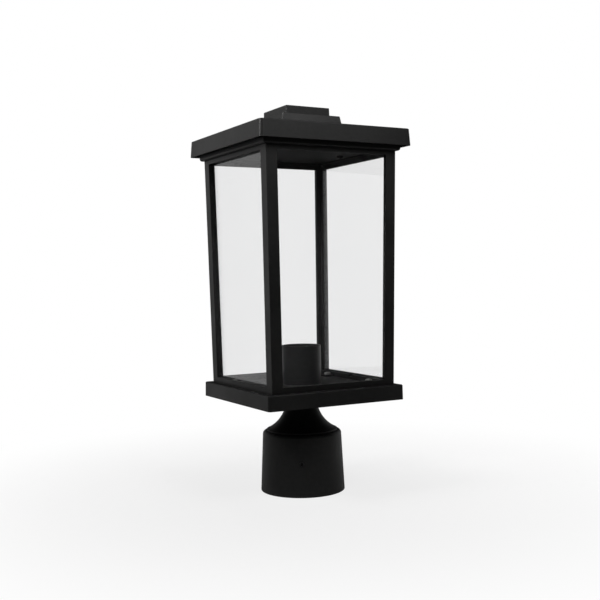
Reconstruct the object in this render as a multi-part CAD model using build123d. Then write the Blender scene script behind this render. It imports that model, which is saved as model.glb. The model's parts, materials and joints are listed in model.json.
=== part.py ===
from build123d import *
import math
import os

# Post top lantern. A tapered glass box stands on a square tray, over a flared neck and a round
# cup that drops over a 3 inch post. The glass box, with its roof, lifts off to change the lamp.
#
# Millimetres. The origin is the centre of the post fitter's lower rim, +Z is up, and the four
# glazed faces are square to X and Y. The front is -Y.

# ---------------------------------------------------------------- driving dimensions

# Post fitter: the cup that takes the post
POST_RADIUS = 38.1
POST_CLEARANCE = 0.3
FITTER_HEIGHT = 62.0
FITTER_RIM_WALL = 5.0
FITTER_SHOULDER_WALL = 2.1
FITTER_SHELF = 4.0
FITTER_SHELF_HOLE_RADIUS = 24.0
FITTER_LEAD_IN = 1.8
FITTER_LEAD_IN_HEIGHT = 6.0
FITTER_RIM_ROUND = 0.6
FITTER_SHOULDER_ROUND = 3.8

# Set screws that clamp the post
SET_SCREW_COUNT = 3
SET_SCREW_HEIGHT = 33.3
SET_SCREW_RADIUS = 2.5
SET_SCREW_LENGTH = 4.0
SET_SCREW_TIP_GAP = 0.15
SET_SCREW_KEY_RADIUS = 1.45
SET_SCREW_KEY_DEPTH = 2.0

# Neck: a flared casting between the fitter and the tray
NECK_LIP_HEIGHT = 1.4
NECK_LIP_LEDGE = 0.5
NECK_LIP_ROUND = 0.3
NECK_FOOT_RADIUS = 36.0
NECK_FOOT_SOLID_HEIGHT = 4.0
NECK_FLARE_HEIGHT = 31.7
NECK_STEM_RADIUS = 15.8
NECK_WALL = 3.0
NECK_LIP_WALL = 10.3
NECK_TOP_WALL = 5.0
NECK_SCREW_COUNT = 3
NECK_SCREW_START = 30
NECK_SCREW_INSET = 7.3
GASKET = 1.0

# Tray: an inverted square pan
TRAY_LEDGE = 7.15
TRAY_DRAFT = 0.2
TRAY_HEIGHT = 14.9
TRAY_WALL = 2.6
TRAY_PLATE = 3.0
TRAY_CORNER = 3.0
TRAY_INNER_CORNER = 1.5
TRAY_EDGE = 1.2

# Glass box: four leaning angle posts between a bottom and a top frame
BODY_FOOT_WIDTH = 138.0
BODY_HEAD_WIDTH = 145.3
BODY_HEIGHT = 234.4
CORNER_FACE = 11.5
CORNER_WALL = 4.0
CORNER_CHAMFER = 3.0
CORNER_EDGE = 0.8
CORNER_SCREW_INSET = 3.6
GLASS_THICKNESS = 3.0
GLASS_CLEARANCE = 0.25

# Bottom frame: a channel that holds the lower edges of the glass
BOTTOM_RAIL_HEIGHT = 5.8
BOTTOM_WEB = 2.0
INNER_LIP = 2.0
INNER_LIP_HEIGHT = 2.8
WEEP_NOTCH_WIDTH = 5.6
WEEP_NOTCH_DEPTH = 2.0
BOLT_TAB_WIDTH = 14.0
BOLT_TAB_REACH = 10.0
CAGE_BOLT_SPACING = 83.0

# Top frame: the rails over the glass, with the cornice outside and the ceiling seat inside
TOP_RAIL_HEIGHT = 4.4
CORNICE_HEIGHT = 4.6
CORNICE_STEP = 3.9
CORNICE_ROUND = 2.3
CORNICE_CORNER = 1.5
CEILING_RISE = 3.2
TOP_PLATE = 2.6
TOP_FLANGE_WIDTH = 30.55
TOP_OPENING_CORNER = 6.0

# Ceiling plate: a shallow pan whose turned edge holds the glass outwards
CEILING_SHEET = 1.0
CEILING_FLANGE = 2.6
CEILING_CORNER = 3.0
CEILING_SCREW_INSET = 5.3

# Roof and its stepped cap
ROOF_OVERHANG = 7.9
ROOF_SPLAY = 1.0
ROOF_RIM_HEIGHT = 16.6
ROOF_HIP_RISE = 6.4
ROOF_WALL = 2.5
ROOF_CORNER = 4.0
ROOF_LANDING = 2.0
ROOF_EDGE = 1.0
ROOF_BOSS_RADIUS = 4.5
ROOF_BOSS_INSET = 19.55
CAP_LOWER_WIDTH = 69.2
CAP_LOWER_HEIGHT = 10.4
CAP_LOWER_DRAFT = 1.8
CAP_UPPER_WIDTH = 50.6
CAP_UPPER_HEIGHT = 9.0
CAP_UPPER_DRAFT = 0.3
CAP_WALL = 2.5
CAP_CORNER = 1.2
CAP_EDGE = 0.7
CAP_BOSS_RADIUS = 6.0
CAP_WASHER_RADIUS = 6.5
CAP_WASHER_THICKNESS = 1.0

# Lamp socket, stood in a drawn cup
CUP_GAP = 1.7
CUP_HEIGHT = 39.6
CUP_WALL = 1.2
CUP_LIP_ROUND = 0.5
HOLDER_WALL = 3.5
HOLDER_DROP = 4.0
HOLDER_FLOOR = 4.6
HOLDER_EDGE = 1.0
SHELL_RADIUS = 13.3
SHELL_WALL = 0.5
SHELL_DROP = 1.0
SHELL_CLEARANCE = 0.2
SHELL_SEAT_HEIGHT = 2.0
SHELL_SEAT_LEDGE = 1.4
CONTACT_RADIUS = 3.9
CONTACT_HEIGHT = 2.4
CONTACT_DOME = 0.8
CONTACT_CLEARANCE = 0.3
CONTACT_SEAT_DEPTH = 1.0
SPRING_LENGTH = 2.4
SPRING_RADIUS = 3.4
SPRING_WIRE = 0.8
STRAP_LENGTH = 27.0
STRAP_WIDTH = 12.0
STRAP_THICKNESS = 2.0
HOLDER_SCREW_MARGIN = 0.1
TERMINAL_INSET = 4.3

# Threaded pipe that clamps neck, tray and cup together, and its nuts and washers
PIPE_RADIUS = 4.9
PIPE_BORE_RADIUS = 3.6
PIPE_TAIL = 2.0
PIPE_HOLE_CLEARANCE = 0.25
LOCKNUT_WALL = 2.1
LOCKNUT_THICKNESS = 4.0
LOCKWASHER_RADIUS = 9.0
LOCKWASHER_THICKNESS = 1.2

# Machine screws in three sizes
M3_RADIUS = 1.5
M3_HEAD_RADIUS = 2.75
M3_HEAD_HEIGHT = 1.8
M4_RADIUS = 2.0
M4_HEAD_RADIUS = 3.6
M4_HEAD_HEIGHT = 2.4
M5_RADIUS = 2.5
M5_HEAD_RADIUS = 4.5
M5_HEAD_HEIGHT = 3.0
HEAD_ROUND_SHARE = 0.4
THREAD_CLEARANCE = 0.06
HOLE_CLEARANCE = 0.25
DRIVE_SLOT = 0.8
DRIVE_DEPTH_SHARE = 0.55
DRIVE_SPAN_SHARE = 1.1
CORNER_SCREW_BITE = 10.0
CEILING_SCREW_LENGTH = 6.0
ROOF_SCREW_BITE = 8.0
CAP_SCREW_BITE = 11.0
NECK_SCREW_BITE = 2.4
HOLDER_SCREW_REACH = 0.4
TERMINAL_SCREW_BITE = 3.2
GROUND_SCREW_BITE = 2.2
GROUND_SCREW_RADIUS = 30.0
BLIND_HOLE_EXTRA = 0.4

# Thumb nuts under the tray, on the bolts of the glass box
THUMB_NUT_RADIUS = 6.5
THUMB_NUT_THICKNESS = 6.0
THUMB_NUT_EDGE = 0.6
THUMB_WASHER_RADIUS = 5.5
THUMB_WASHER_THICKNESS = 1.0
BOLT_TAIL = 1.5

# ---------------------------------------------------------------- levels and derived sizes

M3 = (M3_RADIUS, M3_HEAD_RADIUS, M3_HEAD_HEIGHT)
M4 = (M4_RADIUS, M4_HEAD_RADIUS, M4_HEAD_HEIGHT)
M5 = (M5_RADIUS, M5_HEAD_RADIUS, M5_HEAD_HEIGHT)

BORE_RADIUS = POST_RADIUS + POST_CLEARANCE
FITTER_RIM_RADIUS = BORE_RADIUS + FITTER_RIM_WALL
FITTER_SHOULDER_RADIUS = BORE_RADIUS + FITTER_SHOULDER_WALL
SHELF_Z = FITTER_HEIGHT - FITTER_SHELF
NECK_LIP_TOP_Z = FITTER_HEIGHT + NECK_LIP_HEIGHT
TRAY_Z = NECK_LIP_TOP_Z + NECK_FLARE_HEIGHT
FLOOR_Z = TRAY_Z + TRAY_HEIGHT
PLATE_UNDER_Z = FLOOR_Z - TRAY_PLATE
NECK_TOP_Z = PLATE_UNDER_Z - GASKET

BOTTOM_WEB_TOP_Z = FLOOR_Z + BOTTOM_WEB
BOTTOM_RAIL_TOP_Z = FLOOR_Z + BOTTOM_RAIL_HEIGHT
CORNICE_Z = FLOOR_Z + BODY_HEIGHT
TOP_RAIL_Z = CORNICE_Z - TOP_RAIL_HEIGHT
ROOF_RIM_Z = CORNICE_Z + CORNICE_HEIGHT
CEILING_Z = CORNICE_Z + CEILING_RISE
TOP_PLATE_Z = CEILING_Z + TOP_PLATE
ROOF_EAVE_Z = ROOF_RIM_Z + ROOF_RIM_HEIGHT
CAP_Z = ROOF_EAVE_Z + ROOF_HIP_RISE
CAP_STEP_Z = CAP_Z + CAP_LOWER_HEIGHT
CAP_TOP_Z = CAP_STEP_Z + CAP_UPPER_HEIGHT

CUP_FLOOR_Z = FLOOR_Z + CUP_WALL
UPPER_NUT_Z = CUP_FLOOR_Z + LOCKWASHER_THICKNESS
STRAP_Z = UPPER_NUT_Z + LOCKNUT_THICKNESS
HOLDER_Z = STRAP_Z + STRAP_THICKNESS
HOLDER_FLOOR_Z = HOLDER_Z + HOLDER_FLOOR
CUP_TOP_Z = FLOOR_Z + CUP_HEIGHT
HOLDER_TOP_Z = CUP_TOP_Z - HOLDER_DROP
SHELL_Z = HOLDER_FLOOR_Z + SHELL_SEAT_HEIGHT
CONTACT_Z = HOLDER_FLOOR_Z - CONTACT_SEAT_DEPTH
SPRING_Z = CONTACT_Z - SPRING_LENGTH
HOLDER_CAVITY_RADIUS = SHELL_RADIUS + SHELL_WALL + SHELL_CLEARANCE
SHELL_SEAT_RADIUS = HOLDER_CAVITY_RADIUS - SHELL_SEAT_LEDGE
HOLDER_RADIUS = HOLDER_CAVITY_RADIUS + HOLDER_WALL
CUP_RADIUS = HOLDER_RADIUS + CUP_GAP + CUP_WALL
HOLDER_SCREW_RING = SHELL_SEAT_RADIUS - HOLDER_SCREW_MARGIN - HOLE_CLEARANCE - M3_HEAD_RADIUS
TERMINAL_RING = HOLDER_RADIUS - TERMINAL_INSET
LOWER_WASHER_Z = NECK_TOP_Z - NECK_TOP_WALL - LOCKWASHER_THICKNESS
LOWER_NUT_Z = LOWER_WASHER_Z - LOCKNUT_THICKNESS

GLASS_INSET = CORNER_WALL + GLASS_CLEARANCE
INNER_LIP_INSET = GLASS_INSET + GLASS_THICKNESS + GLASS_CLEARANCE
LIP_INNER_FACE_INSET = INNER_LIP_INSET + INNER_LIP
GLASS_BOTTOM_Z = BOTTOM_WEB_TOP_Z + GLASS_CLEARANCE
GLASS_TOP_Z = CEILING_Z - GLASS_CLEARANCE
PIPE_HOLE_RADIUS = PIPE_RADIUS + PIPE_HOLE_CLEARANCE
NECK_LIP_RADIUS = NECK_FOOT_RADIUS + NECK_LIP_LEDGE
NECK_LIP_BORE_RADIUS = NECK_LIP_RADIUS - NECK_LIP_WALL
NECK_SCREW_RING_RADIUS = NECK_LIP_RADIUS - NECK_SCREW_INSET
QUARTER_TURNS = (0, 90, 180, 270)


def body_half(z):
    """Half the width of the leaning glass box at height z."""
    lean = (BODY_HEAD_WIDTH - BODY_FOOT_WIDTH) / 2 / BODY_HEIGHT
    return BODY_FOOT_WIDTH / 2 + lean * (z - FLOOR_Z)


CAGE_BOLT_X = body_half(FLOOR_Z) - LIP_INNER_FACE_INSET - HOLE_CLEARANCE - M4[1]
CAGE_BOLT_PLACES = [(sx * CAGE_BOLT_X, sy * CAGE_BOLT_SPACING / 2) for sx in (-1, 1) for sy in (-1, 1)]
CORNICE_HALF = body_half(CORNICE_Z) + CORNICE_STEP
TOP_OPENING_HALF = CORNICE_HALF - TOP_FLANGE_WIDTH
CEILING_SCREW_RING = TOP_OPENING_HALF + CEILING_SCREW_INSET
ROOF_BOSS_REACH = CORNICE_HALF - ROOF_BOSS_INSET
ROOF_BOSS_PLACES = [(sx * ROOF_BOSS_REACH, sy * ROOF_BOSS_REACH) for sx in (-1, 1) for sy in (-1, 1)]
CEILING_SCREW_PLACES = [(CEILING_SCREW_RING, 0), (0, CEILING_SCREW_RING), (-CEILING_SCREW_RING, 0),
                        (0, -CEILING_SCREW_RING)]
SET_SCREW_ANGLES = [360 / SET_SCREW_COUNT * i for i in range(SET_SCREW_COUNT)]
NECK_SCREW_ANGLES = [NECK_SCREW_START + 360 / NECK_SCREW_COUNT * i for i in range(NECK_SCREW_COUNT)]

# ---------------------------------------------------------------- shape helpers


def rod(radius, z_low, z_high, x=0, y=0):
    """Upright cylinder between two heights."""
    return extrude(Pos(x, y, z_low) * Circle(radius), z_high - z_low)


def tube(radius, bore_radius, z_low, z_high, x=0, y=0):
    """Upright pipe between two heights."""
    return extrude(Pos(x, y, z_low) * (Circle(radius) - Circle(bore_radius)), z_high - z_low)


def square_block(half_low, half_high, z_low, z_high, corner):
    """Block on a rounded square, drafted from one half width to another."""
    low = Pos(0, 0, z_low) * RectangleRounded(2 * half_low, 2 * half_low, corner)
    high = Pos(0, 0, z_high) * RectangleRounded(2 * half_high, 2 * half_high, corner)
    return loft([low.face(), high.face()], ruled=True)


def side_slab(z_low, z_high, end_inset, outer_inset, thickness):
    """Slab that leans with the +Y face of the glass box, set in from its ends and its face."""
    sections = []
    for z in (z_low, z_high):
        half = body_half(z)
        centre_y = half - outer_inset - thickness / 2
        section = Pos(0, centre_y, z) * Rectangle(2 * (half - end_inset), thickness)
        sections.append(section.face())
    return loft(sections, ruled=True)


def around(shape):
    """The shape on all four sides."""
    return [Rot(0, 0, turn) * shape for turn in QUARTER_TURNS]


def polar(shape, angle):
    """The shape turned about Z."""
    return Rot(0, 0, angle) * shape


def round_edges(shape, z, radius):
    """Round the edges of a shape that lie flat at height z."""
    return fillet(shape.edges().filter_by_position(Axis.Z, z, z), radius)


def cross_recess(head_radius, head_height):
    """Cutter for a cross drive, hanging from the top of a screw head at z = head_height."""
    depth = head_height * DRIVE_DEPTH_SHARE
    span = head_radius * DRIVE_SPAN_SHARE
    slot = Pos(0, 0, head_height - depth / 2) * Box(span, DRIVE_SLOT, depth)
    return slot + Rot(0, 0, 90) * slot


def pan_screw(size, length):
    """Pan head screw: the head sits on z = 0 and the shank hangs below it."""
    shank_radius, head_radius, head_height = size
    head = round_edges(rod(head_radius, 0, head_height), head_height, head_height * HEAD_ROUND_SHARE)
    screw = head + rod(shank_radius, -length, 0)
    return screw - cross_recess(head_radius, head_height)


def flush_screw(size, length):
    """Countersunk screw: its top is flush with z = 0 and the shank hangs below it."""
    shank_radius, head_radius, head_height = size
    cone_height = head_radius - shank_radius
    head = Pos(0, 0, -cone_height / 2) * Cone(shank_radius, head_radius, cone_height)
    screw = head + rod(shank_radius, -length, 0)
    return screw - Pos(0, 0, -head_height) * cross_recess(head_radius, head_height)


def flush_seat(size, depth):
    """Cutter for a countersunk screw, with running room round the shank."""
    shank_radius, head_radius, _ = size
    cone_height = head_radius - shank_radius
    cone = Pos(0, 0, -cone_height / 2) * Cone(shank_radius, head_radius, cone_height)
    return cone + rod(shank_radius + THREAD_CLEARANCE, -depth, 0)


def lock_nut(z_low):
    """Hex nut on the threaded pipe, a flat towards each screw of the strap."""
    hexagon = RegularPolygon(PIPE_RADIUS + LOCKNUT_WALL, 6, major_radius=False, rotation=30)
    prism = extrude(Pos(0, 0, z_low) * hexagon, LOCKNUT_THICKNESS)
    return prism - rod(PIPE_RADIUS, z_low, z_low + LOCKNUT_THICKNESS)


def lock_washer(z_low):
    """Plain washer on the threaded pipe."""
    return tube(LOCKWASHER_RADIUS, PIPE_HOLE_RADIUS, z_low, z_low + LOCKWASHER_THICKNESS)


# ---------------------------------------------------------------- base: fitter, neck, tray


def post_fitter():
    """Cup with a drafted outside, a straight bore, a lead-in and a shelf that stops the post."""
    outline = Polyline(
        (BORE_RADIUS + FITTER_LEAD_IN, 0),
        (FITTER_RIM_RADIUS, 0),
        (FITTER_SHOULDER_RADIUS, FITTER_HEIGHT),
        (FITTER_SHELF_HOLE_RADIUS, FITTER_HEIGHT),
        (FITTER_SHELF_HOLE_RADIUS, SHELF_Z),
        (BORE_RADIUS, SHELF_Z),
        (BORE_RADIUS, FITTER_LEAD_IN_HEIGHT),
        close=True,
    )
    section = make_face(outline)
    rim = section.vertices().sort_by_distance(Vector(FITTER_RIM_RADIUS, 0))[0]
    section = fillet(rim, FITTER_RIM_ROUND)
    shoulder = section.vertices().sort_by_distance(Vector(FITTER_SHOULDER_RADIUS, FITTER_HEIGHT))[0]
    section = fillet(shoulder, FITTER_SHOULDER_ROUND)
    cup = revolve(Plane.XZ * section, Axis.Z)
    for angle in SET_SCREW_ANGLES:
        cup -= polar(radial_rod(SET_SCREW_RADIUS + THREAD_CLEARANCE, 0, FITTER_RIM_RADIUS), angle)
    for place in neck_screw_places():
        cup -= place * flush_seat(M4, FITTER_SHELF)
    return cup


def radial_rod(radius, start, end):
    """Cylinder along +X at the height of the set screws, from one distance to another."""
    return Pos(start, 0, SET_SCREW_HEIGHT) * Rot(0, 90, 0) * rod(radius, 0, end - start)


def set_screw(angle):
    """Grub screw whose tip rests just outside the bore, with a hex socket in its outer end."""
    tip = BORE_RADIUS + SET_SCREW_TIP_GAP
    tail = tip + SET_SCREW_LENGTH
    body = radial_rod(SET_SCREW_RADIUS, tip, tail)
    key = extrude(RegularPolygon(SET_SCREW_KEY_RADIUS, 6), SET_SCREW_KEY_DEPTH)
    body -= Pos(tail - SET_SCREW_KEY_DEPTH, 0, SET_SCREW_HEIGHT) * Rot(0, 90, 0) * key
    return polar(body, angle)


def neck_screw_places():
    """Screws that come up through the shelf, head down, into the foot of the neck."""
    place = Pos(NECK_SCREW_RING_RADIUS, 0, SHELF_Z) * Rot(180, 0, 0)
    return [Rot(0, 0, angle) * place for angle in NECK_SCREW_ANGLES]


def flare_curve(offset, z_low, z_high):
    """Arc of the flare, moved inwards by an offset; it runs upright at the top of the flare."""
    drop = NECK_FOOT_RADIUS - NECK_STEM_RADIUS
    radius = (drop**2 + NECK_FLARE_HEIGHT**2) / (2 * drop)

    def point(z):
        return (NECK_STEM_RADIUS + radius - math.sqrt((radius + offset)**2 - (TRAY_Z - z)**2), z)

    return ThreePointArc(point(z_low), point((z_low + z_high) / 2), point(z_high))


def neck():
    """Hollow flared casting with a solid foot for its screws and a thick top for the threaded pipe."""
    outside = flare_curve(0, NECK_LIP_TOP_Z, TRAY_Z)
    inside = flare_curve(NECK_WALL, FITTER_HEIGHT + NECK_FOOT_SOLID_HEIGHT, TRAY_Z)
    bore_top_z = NECK_TOP_Z - NECK_TOP_WALL
    edges = [
        Polyline((NECK_LIP_BORE_RADIUS, FITTER_HEIGHT), (NECK_LIP_RADIUS, FITTER_HEIGHT),
                 (NECK_LIP_RADIUS, NECK_LIP_TOP_Z), outside @ 0),
        outside,
        Polyline(outside @ 1, (NECK_STEM_RADIUS, NECK_TOP_Z), (PIPE_HOLE_RADIUS, NECK_TOP_Z),
                 (PIPE_HOLE_RADIUS, bore_top_z), (NECK_STEM_RADIUS - NECK_WALL, bore_top_z), inside @ 1),
        inside,
        Polyline(inside @ 0, (NECK_LIP_BORE_RADIUS, FITTER_HEIGHT)),
    ]
    section = make_face(Curve() + edges)
    corner = section.vertices().sort_by_distance(Vector(NECK_LIP_RADIUS, NECK_LIP_TOP_Z))[0]
    casting = revolve(Plane.XZ * fillet(corner, NECK_LIP_ROUND), Axis.Z)
    for place in neck_screw_places():
        hole_depth = FITTER_SHELF + NECK_SCREW_BITE + BLIND_HOLE_EXTRA
        casting -= place * rod(M4[0] + THREAD_CLEARANCE, -hole_depth, 0)
    return casting


def neck_screws():
    """Three countersunk screws, flush in the shelf so that the post can seat."""
    return [place * flush_screw(M4, FITTER_SHELF + NECK_SCREW_BITE) for place in neck_screw_places()]


def base_tray():
    """Inverted square pan: its plate is the floor of the lantern."""
    half = body_half(FLOOR_Z) + TRAY_LEDGE
    pan = square_block(half, half - TRAY_DRAFT, TRAY_Z, FLOOR_Z, TRAY_CORNER)
    pan = round_edges(pan, FLOOR_Z, TRAY_EDGE)
    inner = half - TRAY_DRAFT - TRAY_WALL
    pan -= square_block(inner, inner, TRAY_Z, PLATE_UNDER_Z, TRAY_INNER_CORNER)
    pan -= rod(PIPE_HOLE_RADIUS, PLATE_UNDER_Z, FLOOR_Z)
    for x, y in CAGE_BOLT_PLACES:
        pan -= rod(M4[0] + HOLE_CLEARANCE, PLATE_UNDER_Z, FLOOR_Z, x, y)
    x, y = ground_screw_place()
    pan -= rod(M4[0], PLATE_UNDER_Z, PLATE_UNDER_Z + GROUND_SCREW_BITE, x, y)
    return pan


def ground_screw_place():
    """Under the plate, beside the neck, at the rear."""
    return (0, GROUND_SCREW_RADIUS)


def ground_screw():
    """Earth screw, turned up into the underside of the tray."""
    x, y = ground_screw_place()
    return Pos(x, y, PLATE_UNDER_Z) * Rot(180, 0, 0) * pan_screw(M4, GROUND_SCREW_BITE)


def neck_gasket():
    """Rubber ring between the neck and the tray."""
    return tube(NECK_STEM_RADIUS, PIPE_HOLE_RADIUS, NECK_TOP_Z, PLATE_UNDER_Z)


def pipe_nipple():
    """Hollow threaded pipe for the leads."""
    return tube(PIPE_RADIUS, PIPE_BORE_RADIUS, LOWER_NUT_Z - PIPE_TAIL, HOLDER_Z)


# ---------------------------------------------------------------- lamp socket


def socket_cup():
    """Drawn cup that stands on the floor round the lampholder."""
    cup = rod(CUP_RADIUS, FLOOR_Z, CUP_TOP_Z) - rod(CUP_RADIUS - CUP_WALL, CUP_FLOOR_Z, CUP_TOP_Z)
    cup = round_edges(cup, CUP_TOP_Z, CUP_LIP_ROUND)
    return cup - rod(PIPE_HOLE_RADIUS, FLOOR_Z, CUP_FLOOR_Z)


def holder_strap():
    """Steel strap on the pipe that carries the lampholder."""
    strap = extrude(Pos(0, 0, STRAP_Z) * SlotOverall(STRAP_LENGTH, STRAP_WIDTH), STRAP_THICKNESS)
    strap -= rod(PIPE_RADIUS, STRAP_Z, HOLDER_Z)
    for x in (-HOLDER_SCREW_RING, HOLDER_SCREW_RING):
        strap -= rod(M3[0], STRAP_Z, HOLDER_Z, x)
    return strap


def lampholder_body():
    """Porcelain body: a cup for the screw shell, with a pocket for the sprung contact."""
    body = round_edges(rod(HOLDER_RADIUS, HOLDER_Z, HOLDER_TOP_Z), HOLDER_TOP_Z, HOLDER_EDGE)
    body -= rod(HOLDER_CAVITY_RADIUS, SHELL_Z, HOLDER_TOP_Z)
    body -= rod(SHELL_SEAT_RADIUS, HOLDER_FLOOR_Z, SHELL_Z)
    body -= rod(CONTACT_RADIUS + CONTACT_CLEARANCE, SPRING_Z, HOLDER_FLOOR_Z)
    for x in (-HOLDER_SCREW_RING, HOLDER_SCREW_RING):
        body -= rod(M3[0] + HOLE_CLEARANCE, HOLDER_Z, HOLDER_FLOOR_Z, x)
        body -= rod(M3[1] + HOLE_CLEARANCE, HOLDER_FLOOR_Z - M3[2] - HOLE_CLEARANCE, HOLDER_FLOOR_Z, x)
    for y in (-TERMINAL_RING, TERMINAL_RING):
        body -= rod(M3[0], HOLDER_Z, HOLDER_Z + TERMINAL_SCREW_BITE, 0, y)
    return body


def holder_screws():
    """Two screws from the floor of the lampholder down into the strap."""
    seat_z = HOLDER_FLOOR_Z - M3[2] - HOLE_CLEARANCE
    screw = pan_screw(M3, seat_z - STRAP_Z + HOLDER_SCREW_REACH)
    return [Pos(x, 0, seat_z) * screw for x in (-HOLDER_SCREW_RING, HOLDER_SCREW_RING)]


def screw_shell():
    """Metal shell that takes the thread of the lamp cap, on a ledge in the lampholder."""
    return tube(SHELL_RADIUS + SHELL_WALL, SHELL_RADIUS, SHELL_Z, HOLDER_TOP_Z - SHELL_DROP)


def terminal_screws():
    """Two terminal screws, head down under the lampholder."""
    screw = Rot(180, 0, 0) * pan_screw(M3, TERMINAL_SCREW_BITE)
    return [Pos(0, y, HOLDER_Z) * screw for y in (-TERMINAL_RING, TERMINAL_RING)]


def centre_contact():
    """Brass button that the lamp presses down."""
    button = rod(CONTACT_RADIUS, CONTACT_Z, CONTACT_Z + CONTACT_HEIGHT)
    return round_edges(button, CONTACT_Z + CONTACT_HEIGHT, CONTACT_DOME)


def contact_spring():
    """Plain sleeve in the place of the small spring under the button."""
    return tube(SPRING_RADIUS, SPRING_RADIUS - SPRING_WIRE, SPRING_Z, CONTACT_Z)


# ---------------------------------------------------------------- glass box: frames, posts, panes


def bottom_frame():
    """Channel ring on the tray: outer rails between the posts, inner lips, and four bolt tabs."""
    foot, head = body_half(FLOOR_Z), body_half(BOTTOM_WEB_TOP_Z)
    frame = square_block(foot, head, FLOOR_Z, BOTTOM_WEB_TOP_Z, CORNER_EDGE)
    hole = foot - LIP_INNER_FACE_INSET
    frame -= extrude(Pos(0, 0, FLOOR_Z) * Rectangle(2 * hole, 2 * hole), BOTTOM_WEB)
    rail = side_slab(BOTTOM_WEB_TOP_Z, BOTTOM_RAIL_TOP_Z, CORNER_FACE, 0, CORNER_WALL)
    lip_top_z = BOTTOM_WEB_TOP_Z + INNER_LIP_HEIGHT
    lip = side_slab(BOTTOM_WEB_TOP_Z, lip_top_z, INNER_LIP_INSET, INNER_LIP_INSET, INNER_LIP)
    notch_y = body_half(lip_top_z) - INNER_LIP_INSET - INNER_LIP / 2
    notch = Pos(0, notch_y, lip_top_z - WEEP_NOTCH_DEPTH / 2)
    lip -= notch * Box(WEEP_NOTCH_WIDTH, 2 * INNER_LIP, WEEP_NOTCH_DEPTH)
    for side in around(rail) + around(lip):
        frame += side
    for x, y in CAGE_BOLT_PLACES:
        reach = BOLT_TAB_REACH * math.copysign(1, x)
        edge_x = hole * math.copysign(1, x)
        tab = Box(BOLT_TAB_REACH, BOLT_TAB_WIDTH, BOTTOM_WEB)
        frame += Pos(edge_x - reach / 2, y, FLOOR_Z + BOTTOM_WEB / 2) * tab
        frame -= rod(M4[0], FLOOR_Z, BOTTOM_WEB_TOP_Z, x, y)
    for place in corner_places(FLOOR_Z, BOTTOM_WEB_TOP_Z):
        frame -= place * Rot(180, 0, 0) * flush_seat(M3, BOTTOM_WEB)
    return frame


def corner_places(z, post_end_z):
    """Screw places in the four posts at one end: at height z, over the corner at the post's end."""
    reach = body_half(post_end_z) - CORNER_SCREW_INSET
    return [Rot(0, 0, turn) * Pos(reach, reach, z) for turn in QUARTER_TURNS]


def corner_section(z):
    """Angle section of the post at the +X +Y corner, thickened inside where the screws go."""
    half = body_half(z)
    inner = half - CORNER_WALL
    web = inner - CORNER_CHAMFER
    tip = half - CORNER_FACE
    outline = Polyline((half, half), (tip, half), (tip, inner), (web, inner), (inner, web),
                       (inner, tip), (half, tip), close=True)
    section = make_face(Pos(0, 0, z) * outline)
    outer = section.vertices().sort_by_distance(Vector(half, half, z))[0]
    return fillet(outer, CORNER_EDGE).face()


def corner_post():
    """Leaning angle post at the +X +Y corner, drilled at both ends."""
    post = loft([corner_section(BOTTOM_WEB_TOP_Z), corner_section(CEILING_Z)], ruled=True)
    depth = CORNER_SCREW_BITE + BLIND_HOLE_EXTRA
    low = body_half(BOTTOM_WEB_TOP_Z) - CORNER_SCREW_INSET
    high = body_half(CEILING_Z) - CORNER_SCREW_INSET
    post -= rod(M3[0], BOTTOM_WEB_TOP_Z, BOTTOM_WEB_TOP_Z + depth, low, low)
    post -= rod(M3[0], CEILING_Z - depth, CEILING_Z, high, high)
    return post


def post_foot_screws():
    """Countersunk screws, flush under the bottom frame, up into the posts."""
    screw = Rot(180, 0, 0) * flush_screw(M3, BOTTOM_WEB + CORNER_SCREW_BITE)
    return [place * screw for place in corner_places(FLOOR_Z, BOTTOM_WEB_TOP_Z)]


def post_head_screws():
    """Pan head screws, down through the top frame into the posts."""
    screw = pan_screw(M3, TOP_PLATE + CORNER_SCREW_BITE)
    return [place * screw for place in corner_places(TOP_PLATE_Z, CEILING_Z)]


def glass_pane():
    """Flat pane behind the +Y face, standing in the bottom channel."""
    return side_slab(GLASS_BOTTOM_Z, GLASS_TOP_Z, INNER_LIP_INSET, GLASS_INSET, GLASS_THICKNESS)


def top_frame():
    """Cornice and ceiling seat in one casting, with rails between the posts' heads."""
    frame = square_block(CORNICE_HALF, CORNICE_HALF, CORNICE_Z, TOP_PLATE_Z, CORNICE_CORNER)
    frame = round_edges(frame, CORNICE_Z, CORNICE_ROUND)
    frame -= square_block(body_half(CORNICE_Z), body_half(CEILING_Z), CORNICE_Z, CEILING_Z, CORNER_EDGE)
    opening = RectangleRounded(2 * TOP_OPENING_HALF, 2 * TOP_OPENING_HALF, TOP_OPENING_CORNER)
    frame -= extrude(Pos(0, 0, CEILING_Z) * opening, TOP_PLATE)
    rail = side_slab(TOP_RAIL_Z, CEILING_Z, CORNER_FACE, 0, CORNER_WALL)
    for side in around(rail):
        frame += side
    for place in corner_places(CEILING_Z, CEILING_Z):
        frame -= place * rod(M3[0] + THREAD_CLEARANCE, 0, TOP_PLATE)
    for x, y in ROOF_BOSS_PLACES:
        frame -= Pos(x, y, CEILING_Z) * Rot(180, 0, 0) * flush_seat(M4, TOP_PLATE)
    for x, y in CEILING_SCREW_PLACES:
        frame -= rod(M4[0], CEILING_Z, TOP_PLATE_Z, x, y)
    return frame


def ceiling_plate():
    """Shallow pan under the top frame; its turned edge stands just behind the glass."""
    half = body_half(CEILING_Z - CEILING_FLANGE) - INNER_LIP_INSET
    low_z = CEILING_Z - CEILING_FLANGE
    pan = square_block(half, half, low_z, CEILING_Z, CEILING_CORNER)
    inner = half - CEILING_SHEET
    pan -= square_block(inner, inner, low_z, CEILING_Z - CEILING_SHEET, CEILING_CORNER - CEILING_SHEET)
    for x, y in CEILING_SCREW_PLACES:
        pan -= rod(M4[0] + HOLE_CLEARANCE, CEILING_Z - CEILING_SHEET, CEILING_Z, x, y)
    return pan


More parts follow.
